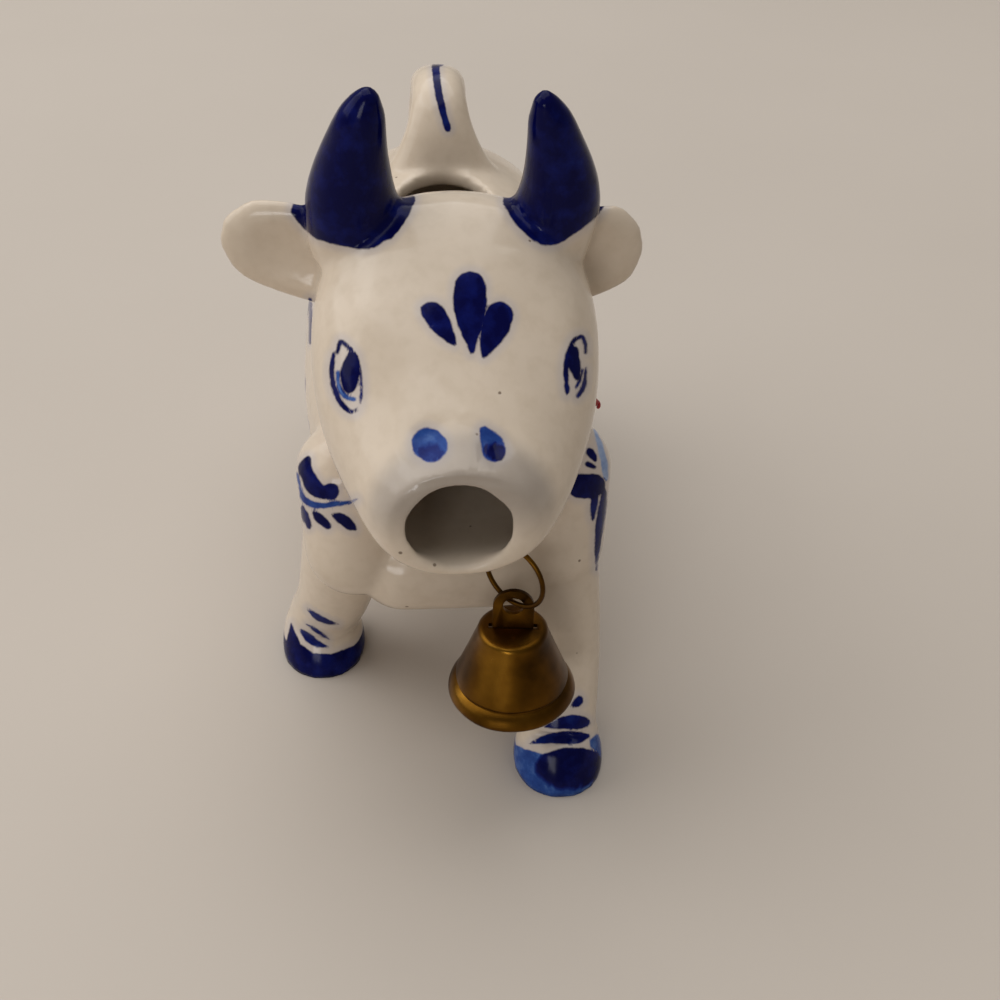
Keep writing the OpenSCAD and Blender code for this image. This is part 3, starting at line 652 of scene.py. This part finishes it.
def makeBell():
    radius = brassBell["hub"]
    bpy.ops.object.select_all(action="DESELECT")
    bpy.ops.mesh.primitive_circle_add(vertices=brassBell["rounds"], radius=radius * mm, fill_type="NGON")
    bell = bpy.context.view_layer.objects.active
    bell.name = bell.data.name = "brassBell"
    bpy.ops.object.mode_set(mode="EDIT")
    bpy.ops.mesh.select_all(action="SELECT")
    height = 0.0
    for nextRadius, nextHeight in brassBell["profile"]:   # drawn out step by step from the crown to the lip
        bpy.ops.mesh.extrude_region_move(TRANSFORM_OT_translate={"value": (0, 0, (nextHeight - height) * mm)})
        grow = nextRadius / radius
        bpy.ops.transform.resize(value=(grow, grow, 1))
        radius, height = nextRadius, nextHeight
    bpy.ops.mesh.delete(type="FACE")
    bpy.ops.mesh.select_all(action="SELECT")
    bpy.ops.mesh.normals_make_consistent(inside=False)
    bpy.ops.object.mode_set(mode="OBJECT")
    points = coordinates(bell)   # a light unevenness, as in thin spun brass
    angle = np.arctan2(points[:, 1], points[:, 0])
    wave = np.sin(angle * 3 + points[:, 2] * 0.4) + 0.6 * np.sin(angle * 7 - points[:, 2] * 0.7)
    points[:, :2] *= 1 + (brassBell["dent"] * wave / 10)[:, None]
    setCoordinates(bell, points)
    applyModifier(bell, "SOLIDIFY", thickness=brassBell["wall"] * mm, offset=-1, use_even_offset=True)
    bpy.ops.object.select_all(action="DESELECT")
    bpy.ops.mesh.primitive_cube_add(size=1)
    cutter = bpy.context.view_layer.objects.active
    long, wide = brassBell["slot"]
    cutter.scale = (long * mm, wide * mm, 4 * mm)
    bpy.ops.object.transform_apply(location=False, rotation=False, scale=True)
    applyModifier(bell, "BOOLEAN", object=cutter, operation="DIFFERENCE", solver="EXACT")
    bpy.data.objects.remove(cutter)
    applyModifier(bell, "BEVEL", width=brassBell["bevel"] * mm, segments=3, limit_method="ANGLE",
                  angle_limit=math.radians(50))
    bell.rotation_euler = (0, 0, math.radians(brassBell["turn"]))
    bell.location = Vector(brassBell["place"]) * mm
    onlySelect(bell)
    bpy.ops.object.transform_apply(location=True, rotation=True, scale=True)
    bpy.ops.object.shade_smooth_by_angle(angle=math.radians(40))
    return bell


def makeBrassCopy(name, node, bevel):   # the solid itself, with its sharp edges rounded if bevel isn't 0
    piece = copyOfNodes(name, [node])
    if bevel:
        bpy.ops.object.mode_set(mode="EDIT")
        bpy.ops.mesh.select_all(action="SELECT")
        bpy.ops.mesh.dissolve_limited(angle_limit=math.radians(0.5))
        bpy.ops.object.mode_set(mode="OBJECT")
        applyModifier(piece, "BEVEL", width=bevel * mm, segments=2, limit_method="ANGLE",
                      angle_limit=math.radians(50))
    onlySelect(piece)
    bpy.ops.object.shade_smooth_by_angle(angle=math.radians(40))
    return piece


bellPiece = makeBell()
lugPiece = makeBrassCopy("bellLug", "bell_lug", brassBell["lugBevel"])
ringPiece = makeBrassCopy("bellRing", "bell_ring", 0)
clapperWire = makeBrassCopy("clapperWire", "clapper_wire", 0)
clapperBall = makeBrassCopy("clapperBall", "clapper_ball", 0)
print("bell made:", len(bellPiece.data.polygons), "faces")


def mixColours(tree, amount, first, second):
    node = addNode(tree, "ShaderNodeMix", {"data_type": "RGBA"})
    for socket, value in ((0, amount), (6, first), (7, second)):
        if isinstance(value, (list, tuple, float, int)):
            node.inputs[socket].default_value = value
        else:
            tree.links.new(value, node.inputs[socket])
    return node.outputs[2]


def makeGlaze():
    # Tin-glazed earthenware: the thick glaze gives a wet gloss over a warm mottled white, the cobalt under it
    # bleeds softly, pools dark where the brush was full, and iron specks show through; over the mouth
    # the white is greyed with painted shade
    material, tree, shader = newMaterial("tinGlazedEarthenware")
    place = addNode(tree, "ShaderNodeTexCoord").outputs["Object"]
    edge = addNode(tree, "ShaderNodeAttribute", {"attribute_name": "paintEdge"}).outputs["Fac"]
    depth = addNode(tree, "ShaderNodeAttribute", {"attribute_name": "paintTone"}).outputs["Fac"]
    # the brush's ragged edge, about 1.2 mm a wave; the mark's own edge lies in its middle
    ragged = addNode(tree, "ShaderNodeTexNoise", {"Scale": 850.0, "Detail": 3.0}, {"Vector": place})
    raggedEdge = addNode(tree, "ShaderNodeMath", {"operation": "MULTIPLY_ADD", 1: 0.42},
                         {0: ragged.outputs["Fac"], 2: edge})
    painted = addNode(tree, "ShaderNodeMapRange", {"interpolation_type": "SMOOTHSTEP", 1: 0.37, 2: 0.03},
                      {0: raggedEdge.outputs[0]})
    # the halo where the cobalt bled into the glaze, 1.5 mm wide
    bleed = addNode(tree, "ShaderNodeMapRange", {"interpolation_type": "SMOOTHSTEP", 1: 1.5, 2: 0.0, 3: 0.0,
                                                 4: 0.2}, {0: edge})
    # pooling of the blue, about 3 mm across
    pooled = addNode(tree, "ShaderNodeTexNoise", {"Scale": 330.0, "Detail": 4.0, "Roughness": 0.6},
                     {"Vector": place})
    deeper = addNode(tree, "ShaderNodeMath", {"operation": "MULTIPLY_ADD", 1: 0.62},
                     {0: pooled.outputs["Fac"], 2: depth})
    centred = addNode(tree, "ShaderNodeMath", {"operation": "SUBTRACT", 1: 0.31}, {0: deeper.outputs[0]})
    blue = addNode(tree, "ShaderNodeValToRGB", None, {"Fac": centred.outputs[0]})
    stops = blue.color_ramp.elements
    stops[0].position, stops[0].color = 0.0, linearColour("#a9b6cc")
    stops[1].position, stops[1].color = 1.0, linearColour("#04063a")
    for position, colour in ((0.3, "#5d7bb0"), (0.5, "#2b4a8c"), (0.7, "#14276c"), (0.86, "#0a1252")):
        stop = stops.new(position)
        stop.color = linearColour(colour)
    # cloudy patches of the white, about 12 mm and 2 mm across
    cloud = addNode(tree, "ShaderNodeTexNoise", {"Scale": 85.0, "Detail": 3.0}, {"Vector": place})
    fine = addNode(tree, "ShaderNodeTexNoise", {"Scale": 480.0, "Detail": 2.0}, {"Vector": place})
    white = mixColours(tree, cloud.outputs["Fac"], linearColour("#d9cab8"), linearColour("#c8b8a4"))
    mottle = addNode(tree, "ShaderNodeMapRange", {1: 0.45, 2: 0.8, 3: 0.0, 4: 0.35}, {0: fine.outputs["Fac"]})
    white = mixColours(tree, mottle.outputs[0], white, linearColour("#bfae98"))
    white = mixColours(tree, bleed.outputs[0], white, linearColour("#7f8fb8"))
    # painted shade: the white is greyed over the top of the mouth, where the snout's front faces away from the
    # light, fading from 11.8 to 15.2 mm away and from 71 to 62 mm up
    mouth = tuple((np.array(glazedCow["mouthMiddle"]) + shift) * mm)
    fromMouth = addNode(tree, "ShaderNodeVectorMath", {"operation": "DISTANCE", 1: mouth}, {0: place})
    mouthShadeNear = addNode(tree, "ShaderNodeMapRange", {"interpolation_type": "SMOOTHSTEP", 1: 0.0152, 2: 0.0118,
                                                     3: 0.0, 4: 0.62}, {0: fromMouth.outputs["Value"]})
    height = addNode(tree, "ShaderNodeSeparateXYZ", None, {0: place})
    mouthShadeOver = addNode(tree, "ShaderNodeMapRange", {"interpolation_type": "SMOOTHSTEP", 1: 0.062, 2: 0.071},
                        {0: height.outputs["Z"]})
    paintedMouthShade = addNode(tree, "ShaderNodeMath", {"operation": "MULTIPLY"},
                     {0: mouthShadeNear.outputs[0], 1: mouthShadeOver.outputs[0]})
    # the painted shade over the mouth greys the white here
    white = mixColours(tree, paintedMouthShade.outputs[0], white, linearColour("#8d8580"))
    # iron specks of 0.3 mm, in a third of the cells of 4.8 mm
    cells = addNode(tree, "ShaderNodeTexVoronoi", {"Scale": 210.0}, {"Vector": place})
    speck = addNode(tree, "ShaderNodeMapRange", {"interpolation_type": "SMOOTHSTEP", 1: 0.075, 2: 0.04},
                    {0: cells.outputs["Distance"]})
    chosen = addNode(tree, "ShaderNodeSeparateColor", None, {"Color": cells.outputs["Color"]})
    few = addNode(tree, "ShaderNodeMath", {"operation": "GREATER_THAN", 1: 0.66}, {0: chosen.outputs[0]})
    specked = addNode(tree, "ShaderNodeMath", {"operation": "MULTIPLY"}, {0: speck.outputs[0], 1: few.outputs[0]})
    soft = addNode(tree, "ShaderNodeMath", {"operation": "MULTIPLY", 1: 0.75}, {0: specked.outputs[0]})
    white = mixColours(tree, soft.outputs[0], white, linearColour("#5a4634"))
    tree.links.new(mixColours(tree, painted.outputs[0], white, blue.outputs["Color"]),
                   shader.inputs["Base Color"])
    rough = addNode(tree, "ShaderNodeMapRange", {3: 0.09, 4: 0.2}, {0: fine.outputs["Fac"]})
    tree.links.new(rough.outputs[0], shader.inputs["Roughness"])
    shader.inputs["IOR"].default_value = 1.5
    # the blue reflects less than the white, so that it stays dark
    gloss = addNode(tree, "ShaderNodeMapRange", {3: 0.25, 4: 0.09}, {0: painted.outputs[0]})
    tree.links.new(gloss.outputs[0], shader.inputs["Specular IOR Level"])
    # the glaze's soft waviness, about 5 mm across, and a pit at each speck
    wavy = addNode(tree, "ShaderNodeTexNoise", {"Scale": 190.0, "Detail": 2.0}, {"Vector": place})
    relief = addNode(tree, "ShaderNodeMath", {"operation": "MULTIPLY_ADD", 1: -0.5},
                     {0: specked.outputs[0], 2: wavy.outputs["Fac"]})
    bump = addNode(tree, "ShaderNodeBump", {"Strength": 0.35, "Distance": 0.0002}, {"Height": relief.outputs[0]})
    tree.links.new(bump.outputs["Normal"], shader.inputs["Normal"])
    return material


def makeBrass():
    # Spun brass gone brown with handling: golden where it is rubbed, darker in clouds, with fine scratches
    material, tree, shader = newMaterial("agedBrass")
    place = addNode(tree, "ShaderNodeTexCoord").outputs["Object"]
    # clouds of tarnish, about 8 mm across
    cloud = addNode(tree, "ShaderNodeTexNoise", {"Scale": 120.0, "Detail": 3.0, "Roughness": 0.5},
                    {"Vector": place})
    tarnish = addNode(tree, "ShaderNodeValToRGB", None, {"Fac": cloud.outputs["Fac"]})
    stops = tarnish.color_ramp.elements
    stops[0].position, stops[0].color = 0.28, linearColour("#2e1c06")
    stops[1].position, stops[1].color = 0.78, linearColour("#8a6220")
    middle = stops.new(0.5)
    middle.color = linearColour("#5a3b0e")
    # scratches run round the bell, 0.15 mm apart
    stretched = addNode(tree, "ShaderNodeMapping", {"Scale": (1.0, 1.0, 22.0)}, {"Vector": place})
    scratches = addNode(tree, "ShaderNodeTexNoise", {"Scale": 300.0, "Detail": 3.0},
                        {"Vector": stretched.outputs[0]})
    tree.links.new(tarnish.outputs["Color"], shader.inputs["Base Color"])
    shader.inputs["Metallic"].default_value = 1.0
    rough = addNode(tree, "ShaderNodeMapRange", {1: 0.25, 2: 0.75, 3: 0.46, 4: 0.27}, {0: cloud.outputs["Fac"]})
    tree.links.new(rough.outputs[0], shader.inputs["Roughness"])
    bump = addNode(tree, "ShaderNodeBump", {"Strength": 0.25, "Distance": 0.00005},
                   {"Height": scratches.outputs["Fac"]})
    tree.links.new(bump.outputs["Normal"], shader.inputs["Normal"])
    return material


def makeCordFinish():
    # Red cotton, two plies: a dry, slightly fuzzy red; its fibres are drawn 0.4 mm wide so that they show
    material, tree, shader = newMaterial("twistedRedCotton")
    place = addNode(tree, "ShaderNodeTexCoord").outputs["Object"]
    fibres = addNode(tree, "ShaderNodeTexNoise", {"Scale": 2600.0, "Detail": 2.0}, {"Vector": place})
    red = mixColours(tree, fibres.outputs["Fac"], linearColour("#c01a22"), linearColour("#6e070d"))
    tree.links.new(red, shader.inputs["Base Color"])
    shader.inputs["Roughness"].default_value = 0.85
    shader.inputs["Sheen Weight"].default_value = 0.3
    bump = addNode(tree, "ShaderNodeBump", {"Strength": 0.5, "Distance": 0.0001}, {"Height": fibres.outputs["Fac"]})
    tree.links.new(bump.outputs["Normal"], shader.inputs["Normal"])
    return material


def makeFloorFinish():
    # Matt pale board, with clouds about 170 mm across
    material, tree, shader = newMaterial("paleBoard")
    place = addNode(tree, "ShaderNodeTexCoord").outputs["Object"]
    cloud = addNode(tree, "ShaderNodeTexNoise", {"Scale": 6.0, "Detail": 4.0}, {"Vector": place})
    tone = mixColours(tree, cloud.outputs["Fac"], linearColour("#c2b8ad"), linearColour("#b8aea3"))
    tree.links.new(tone, shader.inputs["Base Color"])
    shader.inputs["Roughness"].default_value = 0.7
    return material


glaze, brass, cotton = makeGlaze(), makeBrass(), makeCordFinish()
for piece, finish in ((cow, glaze), (cord, cotton), (bellPiece, brass), (lugPiece, brass), (ringPiece, brass),
                      (clapperWire, brass), (clapperBall, brass)):
    piece.data.materials.clear()
    piece.data.materials.append(finish)
print("finishes made")

for piece, body, slotName, nodes in (
        (cow, "creamer", "tin_glazed_earthenware", glazedCow["nodes"]),
        (cord, "creamer", "red_cord", ["neck_cord"]),
        (ringPiece, "ring", "aged_brass", ["bell_ring"]),
        (bellPiece, "bell", "aged_brass", ["bell_shell"]),
        (lugPiece, "bell", "aged_brass", ["bell_lug"]),
        (clapperWire, "clapper", "aged_brass", ["clapper_wire"]),
        (clapperBall, "clapper", "aged_brass", ["clapper_ball"])):
    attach(piece, body)
    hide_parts(*nodes)

studio = {
    "floorSize": 6.0,
    "lamps": {   # place in metres, width and height in metres, watts
        "windowLeft": ((-0.4, -1.2, 0.3), 0.42, 0.26, 2.4),
        "sideLeft": ((-1.2, 0.1, 0.8), 1.3, 1.1, 6.5),
        "overhead": ((-0.25, 0.35, 1.5), 2.2, 2.0, 24.5),
    },
    "world": ("#f2ede6", 0.26),
}
bpy.ops.object.select_all(action="DESELECT")
bpy.ops.mesh.primitive_plane_add(size=studio["floorSize"])
floor = bpy.context.view_layer.objects.active
floor.name = "floor"
floor.data.materials.append(makeFloorFinish())
for name, (place, wide, high, watts) in studio["lamps"].items():
    light = bpy.data.lights.new(name, "AREA")
    light.shape, light.size, light.size_y, light.energy = "RECTANGLE", wide, high, watts
    lamp = bpy.data.objects.new(name, light)
    bpy.context.scene.collection.objects.link(lamp)
    lamp.location = place
    lamp.rotation_euler = (Vector((0, 0, 0.05)) - Vector(place)).to_track_quat("-Z", "Y").to_euler()
world = bpy.data.worlds.new("softRoom")
bpy.context.scene.world = world
world.use_nodes = True
background = world.node_tree.nodes["Background"]
background.inputs["Color"].default_value = linearColour(studio["world"][0])
background.inputs["Strength"].default_value = studio["world"][1]
bpy.context.scene.view_settings.view_transform = "Standard"
print("studio set")
